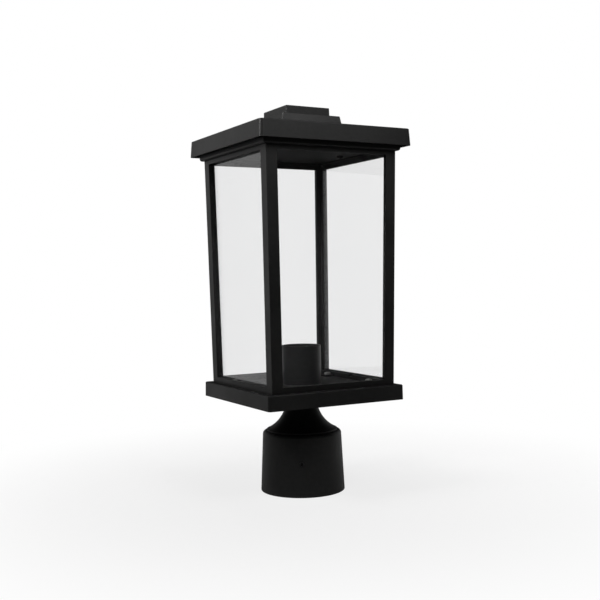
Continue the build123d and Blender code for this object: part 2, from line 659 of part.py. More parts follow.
def ceiling_screws():
    """Four screws that hold the ceiling plate, one by the middle of each side."""
    screw = Rot(180, 0, 0) * pan_screw(M4, CEILING_SCREW_LENGTH)
    return [Pos(x, y, CEILING_Z - CEILING_SHEET) * screw for x, y in CEILING_SCREW_PLACES]


def cage_bolts():
    """Bolts through the tabs of the bottom frame and down through the tray."""
    reach = BOTTOM_WEB + TRAY_PLATE + THUMB_WASHER_THICKNESS + THUMB_NUT_THICKNESS + BOLT_TAIL
    return [Pos(x, y, BOTTOM_WEB_TOP_Z) * pan_screw(M4, reach) for x, y in CAGE_BOLT_PLACES]


def thumb_washers():
    """Washers between the tray and the thumb nuts."""
    low_z = PLATE_UNDER_Z - THUMB_WASHER_THICKNESS
    washer = tube(THUMB_WASHER_RADIUS, M4[0] + HOLE_CLEARANCE, low_z, PLATE_UNDER_Z)
    return [Pos(x, y, 0) * washer for x, y in CAGE_BOLT_PLACES]


def thumb_nuts():
    """Round nuts turned by hand under the tray; they hold the glass box down."""
    top_z = PLATE_UNDER_Z - THUMB_WASHER_THICKNESS
    low_z = top_z - THUMB_NUT_THICKNESS
    nut = tube(THUMB_NUT_RADIUS, M4[0] + THREAD_CLEARANCE, low_z, top_z)
    rims = nut.edges().filter_by(GeomType.CIRCLE).sort_by(SortBy.RADIUS)[-2:]
    nut = chamfer(rims, THUMB_NUT_EDGE)
    return [Pos(x, y, 0) * nut for x, y in CAGE_BOLT_PLACES]


# ---------------------------------------------------------------- roof


def roof_shell():
    """Inverted pan with a splayed rim and a low hip, on four bosses that stand on the top frame."""
    rim = CORNICE_HALF + ROOF_OVERHANG
    eave = rim - ROOF_SPLAY
    cap = CAP_LOWER_WIDTH / 2 + ROOF_LANDING
    inner_rim, inner_eave, inner_cap = rim - ROOF_WALL, eave - ROOF_WALL, cap - ROOF_WALL
    inner_eave_z = ROOF_EAVE_Z - ROOF_WALL
    shell = square_block(rim, eave, ROOF_RIM_Z, ROOF_EAVE_Z, ROOF_CORNER)
    shell += square_block(eave, cap, ROOF_EAVE_Z, CAP_Z, ROOF_CORNER)
    shell = round_edges(shell, ROOF_EAVE_Z, ROOF_EDGE)
    shell -= square_block(inner_rim, inner_eave, ROOF_RIM_Z, inner_eave_z, ROOF_CORNER - ROOF_EDGE)
    shell -= square_block(inner_eave, inner_cap, inner_eave_z, CAP_Z - ROOF_WALL, ROOF_CORNER - ROOF_EDGE)
    for x, y in ROOF_BOSS_PLACES:
        under_z = inner_eave_z + ROOF_HIP_RISE * (inner_eave - abs(x)) / (inner_eave - inner_cap)
        shell += rod(ROOF_BOSS_RADIUS, TOP_PLATE_Z, under_z + ROOF_WALL / 2, x, y)
        shell -= rod(M4[0], TOP_PLATE_Z, TOP_PLATE_Z + ROOF_SCREW_BITE + BLIND_HOLE_EXTRA, x, y)
    return shell - rod(M5[0] + HOLE_CLEARANCE, CAP_Z - ROOF_WALL, CAP_Z)


def roof_screws():
    """Countersunk screws, flush under the top frame, up into the bosses of the roof."""
    screw = Rot(180, 0, 0) * flush_screw(M4, TOP_PLATE + ROOF_SCREW_BITE)
    return [Pos(x, y, CEILING_Z) * screw for x, y in ROOF_BOSS_PLACES]


def roof_cap():
    """Hollow cap of two square steps, with a boss for its screw."""
    lower, upper = CAP_LOWER_WIDTH / 2, CAP_UPPER_WIDTH / 2
    low_step = square_block(lower, lower - CAP_LOWER_DRAFT, CAP_Z, CAP_STEP_Z, CAP_CORNER)
    high_step = square_block(upper, upper - CAP_UPPER_DRAFT, CAP_STEP_Z, CAP_TOP_Z, CAP_CORNER)
    cap = round_edges(low_step, CAP_STEP_Z, CAP_EDGE) + round_edges(high_step, CAP_TOP_Z, CAP_EDGE)
    lower_inner = lower - CAP_LOWER_DRAFT - CAP_WALL
    upper_inner = upper - CAP_UPPER_DRAFT - CAP_WALL
    cap -= square_block(lower_inner, lower_inner, CAP_Z, CAP_STEP_Z - CAP_WALL, CAP_CORNER)
    cap -= square_block(upper_inner, upper_inner, CAP_Z, CAP_TOP_Z - CAP_WALL, CAP_CORNER)
    cap += rod(CAP_BOSS_RADIUS, CAP_Z, CAP_TOP_Z - CAP_WALL / 2)
    return cap - rod(M5[0], CAP_Z, CAP_Z + CAP_SCREW_BITE + BLIND_HOLE_EXTRA)


def cap_washer():
    """Washer under the roof's top, on the cap screw."""
    top_z = CAP_Z - ROOF_WALL
    return tube(CAP_WASHER_RADIUS, M5[0] + HOLE_CLEARANCE, top_z - CAP_WASHER_THICKNESS, top_z)


def cap_screw():
    """Screw from inside the roof up into the boss of the cap."""
    seat_z = CAP_Z - ROOF_WALL - CAP_WASHER_THICKNESS
    length = CAP_Z - seat_z + CAP_SCREW_BITE
    return Pos(0, 0, seat_z) * Rot(180, 0, 0) * pan_screw(M5, length)


# ---------------------------------------------------------------- parts list and files

SIDE_NAMES = ("rear", "left", "front", "right")
CORNER_NAMES = ("rear_right", "rear_left", "front_left", "front_right")

parts = {
    "post_fitter": post_fitter(),
    "neck": neck(),
    "neck_screws": neck_screws(),
    "neck_gasket": neck_gasket(),
    "base_tray": base_tray(),
    "ground_screw": ground_screw(),
    "pipe_nipple": pipe_nipple(),
    "lower_locknut": lock_nut(LOWER_NUT_Z),
    "lower_lockwasher": lock_washer(LOWER_WASHER_Z),
    "upper_locknut": lock_nut(UPPER_NUT_Z),
    "upper_lockwasher": lock_washer(CUP_FLOOR_Z),
    "socket_cup": socket_cup(),
    "holder_strap": holder_strap(),
    "holder_screws": holder_screws(),
    "lampholder_body": lampholder_body(),
    "screw_shell": screw_shell(),
    "terminal_screws": terminal_screws(),
    "centre_contact": centre_contact(),
    "contact_spring": contact_spring(),
    "bottom_frame": bottom_frame(),
    "post_foot_screws": post_foot_screws(),
    "post_head_screws": post_head_screws(),
    "top_frame": top_frame(),
    "ceiling_plate": ceiling_plate(),
    "ceiling_screws": ceiling_screws(),
    "cage_bolts": cage_bolts(),
    "thumb_washers": thumb_washers(),
    "thumb_nuts": thumb_nuts(),
    "roof_shell": roof_shell(),
    "roof_screws": roof_screws(),
    "roof_cap": roof_cap(),
    "cap_washer": cap_washer(),
    "cap_screw": cap_screw(),
}
for number, screw_angle in enumerate(SET_SCREW_ANGLES, start=1):
    parts[f"set_screw_{number}"] = set_screw(screw_angle)
for turn, side, corner in zip(QUARTER_TURNS, SIDE_NAMES, CORNER_NAMES):
    parts[f"glass_{side}"] = polar(glass_pane(), turn)
    parts[f"corner_post_{corner}"] = polar(corner_post(), turn)

os.makedirs("parts", exist_ok=True)
for name, shape in parts.items():
    group = Compound(children=shape) if isinstance(shape, list) else shape
    export_step(group, f"parts/{name}.step")
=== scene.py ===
"""Post top lantern: its finishes, its threads and knurls, its studio and its camera. Metres."""

import json
import math

import bpy
from mathutils import Matrix, Vector


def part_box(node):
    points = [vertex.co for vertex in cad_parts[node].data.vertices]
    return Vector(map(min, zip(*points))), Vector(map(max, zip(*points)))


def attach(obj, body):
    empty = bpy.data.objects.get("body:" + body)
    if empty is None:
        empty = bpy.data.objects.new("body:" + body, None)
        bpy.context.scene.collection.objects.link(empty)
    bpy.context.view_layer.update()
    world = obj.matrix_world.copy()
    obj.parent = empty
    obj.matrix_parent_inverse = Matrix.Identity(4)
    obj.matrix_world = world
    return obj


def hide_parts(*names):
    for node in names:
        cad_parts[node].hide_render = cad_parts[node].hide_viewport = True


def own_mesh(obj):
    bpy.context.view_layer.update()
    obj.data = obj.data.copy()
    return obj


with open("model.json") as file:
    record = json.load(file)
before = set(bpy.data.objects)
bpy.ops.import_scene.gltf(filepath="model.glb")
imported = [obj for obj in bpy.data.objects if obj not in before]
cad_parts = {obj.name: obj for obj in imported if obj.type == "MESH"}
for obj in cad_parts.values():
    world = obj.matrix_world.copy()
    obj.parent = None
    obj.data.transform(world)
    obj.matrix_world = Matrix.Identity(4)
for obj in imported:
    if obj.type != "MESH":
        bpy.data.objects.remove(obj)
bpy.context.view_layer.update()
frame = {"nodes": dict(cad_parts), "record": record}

MM = 0.001

# ---------------------------------------------------------------- node helpers


def link_or_set(tree, socket, value):
    """Feed a socket from another socket, or give it a plain value."""
    if isinstance(value, bpy.types.NodeSocket):
        tree.links.new(value, socket)
    else:
        socket.default_value = value


def add(tree, kind, settings=(), **inputs):
    """New node with its settings, and its inputs by name, with underscores for spaces."""
    node = tree.nodes.new(kind)
    for key, value in dict(settings).items():
        setattr(node, key, value)
    for key, value in inputs.items():
        link_or_set(tree, node.inputs[key.replace("_", " ")], value)
    return node


def calc(tree, operation, *values):
    """Result of a maths node, in a material or in a geometry tree."""
    node = tree.nodes.new("ShaderNodeMath")
    node.operation = operation
    for socket, value in zip(node.inputs, values):
        link_or_set(tree, socket, value)
    return node.outputs[0]


def plus(tree, first, second):
    """Sum."""
    return calc(tree, "ADD", first, second)


def minus(tree, first, second):
    """Difference."""
    return calc(tree, "SUBTRACT", first, second)


def times(tree, first, second):
    """Product."""
    return calc(tree, "MULTIPLY", first, second)


def over(tree, first, second):
    """Quotient."""
    return calc(tree, "DIVIDE", first, second)


def along(tree, direction, axis):
    """How far a direction points along an axis."""
    node = add(tree, "ShaderNodeVectorMath", {"operation": "DOT_PRODUCT"})
    link_or_set(tree, node.inputs[0], direction)
    link_or_set(tree, node.inputs[1], axis)
    return node.outputs["Value"]


def ramp(tree, value, low, high, out_low=0.0, out_high=1.0):
    """Smooth step of a value from one range to another."""
    node = add(tree, "ShaderNodeMapRange", {"interpolation_type": "SMOOTHSTEP"}, Value=value)
    node.inputs["From Min"].default_value = low
    node.inputs["From Max"].default_value = high
    node.inputs["To Min"].default_value = out_low
    node.inputs["To Max"].default_value = out_high
    return node.outputs["Result"]


# ---------------------------------------------------------------- materials


def new_material(name):
    """Material with one Principled shader; gives the material, its tree and the shader."""
    material = bpy.data.materials.new(name)
    material.use_nodes = True
    tree = material.node_tree
    return material, tree, tree.nodes["Principled BSDF"]


def object_place(tree, squeeze=1.0):
    """Object coordinates; a pattern on them is squeezed along Z."""
    place = add(tree, "ShaderNodeTexCoord").outputs["Object"]
    mapping = add(tree, "ShaderNodeMapping", {}, Vector=place)
    mapping.inputs["Scale"].default_value = (1, 1, squeeze)
    return mapping.outputs["Vector"]


def noise(tree, place, per_metre, detail=3.0, roughness=0.5):
    """Noise with so many grains to a metre."""
    node = add(tree, "ShaderNodeTexNoise", {}, Vector=place)
    node.inputs["Scale"].default_value = per_metre
    node.inputs["Detail"].default_value = detail
    node.inputs["Roughness"].default_value = roughness
    return node.outputs["Fac"]


def two_tones(tree, factor, dark, light):
    """Colour between two tones."""
    mix = add(tree, "ShaderNodeMix", {"data_type": "RGBA"})
    link_or_set(tree, mix.inputs["Factor"], factor)
    for socket, tone in zip([s for s in mix.inputs if s.type == "RGBA"], (dark, light)):
        link_or_set(tree, socket, (*tone, 1) if isinstance(tone, tuple) else tone)
    return [s for s in mix.outputs if s.type == "RGBA"][0]


def bump(tree, height, depth, under=None):
    """Relief of a depth in metres, over another relief if one is given."""
    node = add(tree, "ShaderNodeBump", {}, Height=height)
    node.inputs["Strength"].default_value = 1.0
    node.inputs["Distance"].default_value = depth
    if under is not None:
        tree.links.new(under, node.inputs["Normal"])
    return node.outputs["Normal"]


# Grains to a metre in the noises of the coat and of bare metal
PEEL = 900.0
FINE_GRAIN = 3200.0
MOTTLE = 260.0
DRIFT = 22.0
DRAWN_GRAIN = 900.0
TARNISH = 350.0
MID_NOISE = (0.3, 0.7)

# Powder coat; on faces that look into the glass box its tones are darker, as painted shade, and it is
# rougher
MIDDLE_OF_GLASS_BOX = (0.0, 0.0, 0.23)
SHADED_INSIDE_DARK = (0.0042, 0.0042, 0.0043)
SHADED_INSIDE_LIGHT = (0.0066, 0.0066, 0.0064)
INSIDE_ROUGHNESS = 0.50
COAT_SHINE = 0.28
COAT_WAVE = 0.08 * MM
GRAIN_SHARE_OF_PEEL = 0.3


def looks_outward(tree):
    """1 where a face looks away from the middle of the glass box, 0 where it looks towards it."""
    spot = add(tree, "ShaderNodeTexCoord")
    offset = add(tree, "ShaderNodeVectorMath", {"operation": "SUBTRACT"})
    tree.links.new(spot.outputs["Object"], offset.inputs[0])
    offset.inputs[1].default_value = MIDDLE_OF_GLASS_BOX
    aim = add(tree, "ShaderNodeVectorMath", {"operation": "NORMALIZE"})
    tree.links.new(offset.outputs["Vector"], aim.inputs[0])
    facing = along(tree, aim.outputs["Vector"], spot.outputs["Normal"])
    return ramp(tree, facing, -0.05, 0.05)


def powder_coat(name, dark, light, roughness, orange_peel):
    """Satin black powder coat with fine orange peel; faces that look into the glass box get darker tones as
    painted shade, and more roughness.
    """
    material, tree, shader = new_material(name)
    place = object_place(tree)
    outward = looks_outward(tree)
    peel = noise(tree, place, PEEL, 2.0)
    grain = noise(tree, place, FINE_GRAIN, 2.0)
    mottle = noise(tree, place, MOTTLE, 4.0, 0.6)
    drift = noise(tree, place, DRIFT, 2.0)
    tone = plus(tree, times(tree, mottle, 0.6), times(tree, drift, 0.4))
    tone = ramp(tree, tone, 0.35, 0.65)
    # Painted shade: faces that look into the glass box take darker tones than the outer coat
    shaded_inside_coat = two_tones(tree, tone, SHADED_INSIDE_DARK, SHADED_INSIDE_LIGHT)
    full_coat = two_tones(tree, tone, dark, light)
    tree.links.new(two_tones(tree, outward, shaded_inside_coat, full_coat), shader.inputs["Base Color"])
    sheen = plus(tree, times(tree, drift, 0.7), times(tree, grain, 0.3))
    gloss = ramp(tree, sheen, *MID_NOISE, *roughness)
    dullness = times(tree, minus(tree, 1.0, outward), INSIDE_ROUGHNESS)
    tree.links.new(calc(tree, "MAXIMUM", gloss, dullness), shader.inputs["Roughness"])
    shader.inputs["Specular IOR Level"].default_value = COAT_SHINE
    relief = bump(tree, drift, COAT_WAVE)
    relief = bump(tree, peel, orange_peel, relief)
    relief = bump(tree, grain, orange_peel * GRAIN_SHARE_OF_PEEL, relief)
    tree.links.new(relief, shader.inputs["Normal"])
    return material


def worked_metal(name, dark, light, roughness, squeeze, relief=0.010 * MM):
    """Bare or plated metal: grain drawn round the piece, with a mottled tone."""
    material, tree, shader = new_material(name)
    shader.inputs["Metallic"].default_value = 1.0
    place = object_place(tree)
    grain = noise(tree, object_place(tree, squeeze), DRAWN_GRAIN, 2.0)
    mottle = noise(tree, place, TARNISH, 3.0, 0.6)
    tone = ramp(tree, mottle, *MID_NOISE)
    tree.links.new(two_tones(tree, tone, dark, light), shader.inputs["Base Color"])
    blend = plus(tree, times(tree, grain, 0.5), times(tree, mottle, 0.5))
    tree.links.new(ramp(tree, blend, *MID_NOISE, *roughness), shader.inputs["Roughness"])
    tree.links.new(bump(tree, grain, relief), shader.inputs["Normal"])
    return material


PORCELAIN_WHITE = (0.80, 0.79, 0.75)
PORCELAIN_SPECK = (0.66, 0.63, 0.56)


def glazed_porcelain():
    """White porcelain under a clear glaze, with faint specks."""
    material, tree, shader = new_material("glazed_porcelain")
    place = object_place(tree)
    cloud = noise(tree, place, 120.0, 3.0)
    speck = ramp(tree, noise(tree, place, 2600.0, 1.0), 0.72, 0.78)
    tone = calc(tree, "MAXIMUM", times(tree, ramp(tree, cloud, *MID_NOISE), 0.35), speck)
    colour = two_tones(tree, tone, PORCELAIN_WHITE, PORCELAIN_SPECK)
    tree.links.new(colour, shader.inputs["Base Color"])
    tree.links.new(ramp(tree, cloud, *MID_NOISE, 0.12, 0.22), shader.inputs["Roughness"])
    tree.links.new(bump(tree, cloud, 0.06 * MM), shader.inputs["Normal"])
    shader.inputs["Coat Weight"].default_value = 0.4
    return material


RUBBER_BLACK = (0.012, 0.012, 0.013)
RUBBER_BLOOM = (0.035, 0.035, 0.034)


def moulded_rubber():
    """Black rubber with a dusty bloom."""
    material, tree, shader = new_material("moulded_rubber")
    place = object_place(tree)
    bloom = noise(tree, place, 500.0, 4.0, 0.7)
    tree.links.new(two_tones(tree, bloom, RUBBER_BLACK, RUBBER_BLOOM), shader.inputs["Base Color"])
    tree.links.new(ramp(tree, bloom, *MID_NOISE, 0.65, 0.85), shader.inputs["Roughness"])
    tree.links.new(bump(tree, noise(tree, place, 2400.0), 0.04 * MM), shader.inputs["Normal"])
    return material


GLASS_CLEAR = (0.988, 0.989, 0.990)
GLASS_FILM = (0.974, 0.976, 0.978)
GLASS_IOR = 1.5


def clear_pane():
    """Clear float glass; light for the things inside passes it freely."""
    material, tree, shader = new_material("clear_pane")
    place = object_place(tree)
    film = noise(tree, place, 14.0, 3.0, 0.6)
    tree.links.new(two_tones(tree, film, GLASS_CLEAR, GLASS_FILM), shader.inputs["Base Color"])
    shader.inputs["Transmission Weight"].default_value = 1.0
    shader.inputs["IOR"].default_value = GLASS_IOR
    shader.inputs["Roughness"].default_value = 0.0
    through = add(tree, "ShaderNodeBsdfTransparent")
    path = add(tree, "ShaderNodeLightPath")
    mix = add(tree, "ShaderNodeMixShader")
    tree.links.new(path.outputs["Is Shadow Ray"], mix.inputs[0])
    tree.links.new(shader.outputs[0], mix.inputs[1])
    tree.links.new(through.outputs[0], mix.inputs[2])
    tree.links.new(mix.outputs[0], tree.nodes["Material Output"].inputs["Surface"])
    return material


# Each finish by its slot. Coats: dark and light tone, roughness from and to, orange peel.
# Metals: dark and light tone, roughness from and to, squeeze of the grain, relief.
FINISHES = {
    "black_casting": powder_coat("satin_black_casting", (0.0080, 0.0080, 0.0079),
                                 (0.0115, 0.0114, 0.0110), (0.42, 0.54), 0.030 * MM),
    "black_sheet": powder_coat("satin_black_sheet", (0.0070, 0.0070, 0.0072),
                               (0.0100, 0.0100, 0.0100), (0.30, 0.40), 0.015 * MM),
    "clear_glass": clear_pane(),
    "black_screws": worked_metal("black_oxide", (0.020, 0.020, 0.022), (0.045, 0.045, 0.046),
                                 (0.35, 0.50), 6),
    "zinc_steel": worked_metal("dull_zinc", (0.26, 0.265, 0.265), (0.38, 0.38, 0.365),
                               (0.34, 0.50), 8),
    "brass": worked_metal("turned_brass", (0.60, 0.42, 0.17), (0.72, 0.52, 0.24),
                          (0.25, 0.32), 10, 0.006 * MM),
    "shell_metal": worked_metal("rolled_aluminium", (0.72, 0.72, 0.73), (0.79, 0.79, 0.79),
                                (0.27, 0.31), 8, 0.006 * MM),
    "spring_steel": worked_metal("spring_wire", (0.45, 0.45, 0.46), (0.60, 0.60, 0.60),
                                 (0.25, 0.40), 4),
    "porcelain": glazed_porcelain(),
    "rubber_seal": moulded_rubber(),
    "green_screw": worked_metal("green_passivated", (0.03, 0.20, 0.07), (0.07, 0.34, 0.13),
                                (0.30, 0.45), 8),
}
SLOT_OF = {row["node"]: row["material_slot"] for row in frame["record"]["subparts"]}
BODIES = frame["record"]["behaviour"]["bodies"]
BODY_OF = {node: body for body, nodes in BODIES.items() for node in nodes}

for node_name, cad_node in frame["nodes"].items():
    cad_node.material_slots[0].material = FINISHES[SLOT_OF[node_name]]

# ---------------------------------------------------------------- turned and threaded pieces


def start_tree(name, numbers, counts=()):
    """Geometry tree with a point mesh, named sizes in metres, named counts and a finish."""
    tree = bpy.data.node_groups.new(name, "GeometryNodeTree")
    tree.interface.new_socket("Places", in_out="INPUT", socket_type="NodeSocketGeometry")
    for label in numbers:
        tree.interface.new_socket(label, in_out="INPUT", socket_type="NodeSocketFloat")
    for label in counts:
        tree.interface.new_socket(label, in_out="INPUT", socket_type="NodeSocketInt")
    tree.interface.new_socket("Finish", in_out="INPUT", socket_type="NodeSocketMaterial")
    tree.interface.new_socket("Result", in_out="OUTPUT", socket_type="NodeSocketGeometry")
    return tree, tree.nodes.new("NodeGroupInput").outputs


def end_tree(tree, size, piece, turn=0.0):
    """Set the piece on every point, make it real and give it its finish."""
    spots = add(tree, "GeometryNodeMeshToPoints", {}, Mesh=size["Places"])
    tilt = add(tree, "ShaderNodeCombineXYZ", {}, X=turn)
    copies = add(tree, "GeometryNodeInstanceOnPoints", {}, Points=spots.outputs[0], Instance=piece,
                 Rotation=tilt.outputs[0])
    real = add(tree, "GeometryNodeRealizeInstances", {}, Geometry=copies.outputs[0])
    finish = add(tree, "GeometryNodeSetMaterial", {}, Geometry=real.outputs[0], Material=size["Finish"])
    tree.links.new(finish.outputs[0], tree.nodes.new("NodeGroupOutput").inputs["Result"])


# Edges bent more than this, in radians, stay sharp
CREASE = 0.55
KNURL_CREASE = 0.5
THREAD_CREASE = 1.2


def smooth_but_creased(tree, mesh, crease=CREASE):
    """Smooth shading, with edges over the crease angle left sharp."""
    soft = add(tree, "GeometryNodeSetShadeSmooth", {"domain": "FACE"}, Geometry=mesh)
    angle = add(tree, "GeometryNodeInputMeshEdgeAngle").outputs["Unsigned Angle"]
    sharp = add(tree, "GeometryNodeSetShadeSmooth", {"domain": "EDGE"}, Geometry=soft.outputs[0],
                Selection=calc(tree, "GREATER_THAN", angle, crease))
    sharp.inputs["Shade Smooth"].default_value = False
    return sharp.outputs[0]


def place_parts(tree):
    """Position of a point: x, y, z, distance from the axis and angle round it."""
    spot = add(tree, "GeometryNodeInputPosition").outputs[0]
    x, y, z = add(tree, "ShaderNodeSeparateXYZ", {}, Vector=spot).outputs
    reach = calc(tree, "SQRT", plus(tree, times(tree, x, x), times(tree, y, y)))
    return x, y, z, reach, calc(tree, "ARCTAN2", y, x)


def move_to(tree, mesh, x, y, z):
    """Every point of the mesh moved to a worked-out place."""
    spot = add(tree, "ShaderNodeCombineXYZ", {}, X=x, Y=y, Z=z).outputs[0]
    return add(tree, "GeometryNodeSetPosition", {}, Geometry=mesh, Position=spot).outputs[0]


def shifted_up(tree, mesh, rise):
    """The mesh, raised."""
    lift = add(tree, "ShaderNodeCombineXYZ", {}, Z=rise).outputs[0]
    return add(tree, "GeometryNodeTransform", {}, Geometry=mesh, Translation=lift).outputs[0]


def drawn_in(tree, mesh, place, depth, radius):
    """The mesh with its skin, which stands on the radius, drawn in towards the axis by a depth."""
    x, y, z = place
    share = minus(tree, 1.0, over(tree, depth, radius))
    return move_to(tree, mesh, times(tree, x, share), times(tree, y, share), z)


def way_to_end(tree, length, z):
    """How far a point of an upright bar about the origin is from the nearer end."""
    return minus(tree, times(tree, length, 0.5), calc(tree, "ABSOLUTE", z))


def round_bar(tree, radius, length, sides, rings, caps=1):
    """Upright bar about the origin, cut into sides and rings."""
    bar = add(tree, "GeometryNodeMeshCylinder", {}, Vertices=sides, Side_Segments=rings,
              Fill_Segments=caps, Radius=radius, Depth=length)
    return bar.outputs["Mesh"]


THREAD_SIDES = 28
HEAD_SIDES = 48
HEAD_CAPS = 12
BORE_SIDES = 40
BORE_OVERSHOOT = 1.2


def threaded_bar(tree, radius, length, pitch, depth, rings):
    """Bar with a helical thread whose crests are on the radius, tapered off at both ends."""
    bar = round_bar(tree, radius, length, THREAD_SIDES, rings)
    x, y, z, _, angle = place_parts(tree)
    turn = plus(tree, over(tree, z, pitch), over(tree, angle, math.tau))
    groove = times(tree, calc(tree, "PINGPONG", turn, 0.5), 2.0)
    end = way_to_end(tree, length, z)
    taper = minus(tree, 1.0, calc(tree, "MINIMUM", over(tree, end, pitch), 1.0))
    cut = times(tree, calc(tree, "MAXIMUM", groove, taper), depth)
    return drawn_in(tree, bar, (x, y, z), cut, radius)


def cut_out(tree, mesh, *cutters):
    """The mesh with cutters taken out of it."""
    node = add(tree, "GeometryNodeMeshBoolean", {"operation": "DIFFERENCE", "solver": "EXACT"})
    tree.links.new(mesh, node.inputs["Mesh 1"])
    for cutter in cutters:
        tree.links.new(cutter, node.inputs["Mesh 2"])
    return node.outputs["Mesh"]


def bored(tree, mesh, radius, length):
    """The mesh with a round hole all along its axis."""
    bore = round_bar(tree, radius, times(tree, length, BORE_OVERSHOOT), BORE_SIDES, 1)
    return cut_out(tree, mesh, bore)


def drive_bar(tree, size, top, along_x):
    """One arm of the cross drive, sunk from the top of the head."""
    span, width = size["Drive Span"], size["Drive Width"]
    across, back = (span, width) if along_x else (width, span)
    extent = add(tree, "ShaderNodeCombineXYZ", {}, X=across, Y=back,
                 Z=times(tree, size["Drive Depth"], 2.0))
    arm = add(tree, "GeometryNodeMeshCube", {}, Size=extent.outputs[0]).outputs["Mesh"]
    return shifted_up(tree, arm, top)


def machine_screw_tree():
    """Threaded shank under a crowned or countersunk head with a cross drive."""
    tree, size = start_tree("machine_screw", (
        "Shank Radius", "Shank Length", "Pitch", "Thread Depth", "Head Radius", "Head Foot Radius",
        "Head Height", "Head Foot", "Crown", "Drive Span", "Drive Width", "Drive Depth", "Turn"), ("Rings",))
    shank = threaded_bar(tree, size["Shank Radius"], size["Shank Length"], size["Pitch"],
                         size["Thread Depth"], size["Rings"])
    shank = shifted_up(tree, shank, times(tree, size["Shank Length"], -0.5))
    height, foot, radius = size["Head Height"], size["Head Foot"], size["Head Radius"]
    blank = round_bar(tree, radius, height, HEAD_SIDES, 1, HEAD_CAPS)
    x, y, z, reach, _ = place_parts(tree)
    level = plus(tree, over(tree, z, height), 0.5)
    narrow = over(tree, size["Head Foot Radius"], radius)
    widen = plus(tree, narrow, times(tree, level, minus(tree, 1.0, narrow)))
    out = over(tree, reach, radius)
    fall = times(tree, times(tree, calc(tree, "POWER", out, 5.0), size["Crown"]), level)
    rise = minus(tree, times(tree, level, height), fall)
    head = move_to(tree, blank, times(tree, x, widen), times(tree, y, widen), plus(tree, rise, foot))
    top = plus(tree, foot, height)
    head = cut_out(tree, head, drive_bar(tree, size, top, True), drive_bar(tree, size, top, False))
    both = tree.nodes.new("GeometryNodeJoinGeometry")
    tree.links.new(smooth_but_creased(tree, head), both.inputs[0])
    tree.links.new(smooth_but_creased(tree, shank, THREAD_CREASE), both.inputs[0])
    end_tree(tree, size, both.outputs[0], size["Turn"])
    return tree


def threaded_pipe_tree():
    """Pipe threaded from end to end."""
    tree, size = start_tree("threaded_pipe", ("Radius", "Length", "Pitch", "Thread Depth", "Bore"),
                            ("Rings",))
    bar = threaded_bar(tree, size["Radius"], size["Length"], size["Pitch"], size["Thread Depth"],
                       size["Rings"])
    pipe = bored(tree, bar, size["Bore"], size["Length"])
    end_tree(tree, size, smooth_but_creased(tree, pipe, THREAD_CREASE))
    return tree


def thumb_nut_tree():
    """Round nut with a straight knurl, eased ends and a bore."""
    tree, size = start_tree("thumb_nut", ("Radius", "Thickness", "Bore", "Knurl Depth", "Eased End"),
                            ("Teeth",))
    radius, thickness, teeth = size["Radius"], size["Thickness"], size["Teeth"]
    blank = round_bar(tree, radius, thickness, times(tree, teeth, 4.0), 8, 3)
    x, y, z, _, angle = place_parts(tree)
    round_turn = times(tree, over(tree, angle, math.tau), teeth)
    tooth = times(tree, calc(tree, "PINGPONG", round_turn, 0.5), times(tree, size["Knurl Depth"], 2.0))
    end = way_to_end(tree, thickness, z)
    ease = calc(tree, "MAXIMUM", minus(tree, size["Eased End"], end), 0.0)
    nut = drawn_in(tree, blank, (x, y, z), calc(tree, "MAXIMUM", tooth, ease), radius)
    nut = bored(tree, nut, size["Bore"], thickness)
    end_tree(tree, size, smooth_but_creased(tree, nut, KNURL_CREASE))
    return tree


SHELL_SIDES = 72


def lamp_thread_tree():
    """Thin shell rolled into the round thread of a screw lamp."""
    tree, size = start_tree("rolled_lamp_thread", ("Radius", "Length", "Pitch", "Wave"), ("Rings",))
    shell = add(tree, "GeometryNodeMeshCylinder", {"fill_type": "NONE"}, Vertices=SHELL_SIDES,
                Side_Segments=size["Rings"], Radius=size["Radius"], Depth=size["Length"])
    x, y, z, _, angle = place_parts(tree)
    turn = plus(tree, times(tree, over(tree, z, size["Pitch"]), math.tau), angle)
    wave = times(tree, plus(tree, calc(tree, "COSINE", turn), 1.0), 0.5)
    end = way_to_end(tree, size["Length"], z)
    settle = calc(tree, "MINIMUM", over(tree, end, size["Pitch"]), 1.0)
    cut = times(tree, times(tree, wave, settle), size["Wave"])
    shell = drawn_in(tree, shell.outputs["Mesh"], (x, y, z), cut, size["Radius"])
    end_tree(tree, size, add(tree, "GeometryNodeSetShadeSmooth", {}, Geometry=shell).outputs[0])
    return tree


COIL_STEPS = 32
WIRE_SIDES = 12


def coil_tree():
    """Coil of round wire with closed ends."""
    tree, size = start_tree("wire_coil", ("Coil Radius", "Wire Radius", "Height", "Turns"))
    path = add(tree, "GeometryNodeCurveSpiral", {}, Resolution=COIL_STEPS, Rotations=size["Turns"],
               Start_Radius=size["Coil Radius"], End_Radius=size["Coil Radius"], Height=size["Height"])
    wire = add(tree, "GeometryNodeCurvePrimitiveCircle", {}, Resolution=WIRE_SIDES,
               Radius=size["Wire Radius"])
    coil = add(tree, "GeometryNodeCurveToMesh", {}, Curve=path.outputs[0],
               Profile_Curve=wire.outputs[0])
    coil.inputs["Fill Caps"].default_value = True
    smooth = add(tree, "GeometryNodeSetShadeSmooth", {}, Geometry=coil.outputs[0])
    end_tree(tree, size, smooth.outputs[0])
    return tree


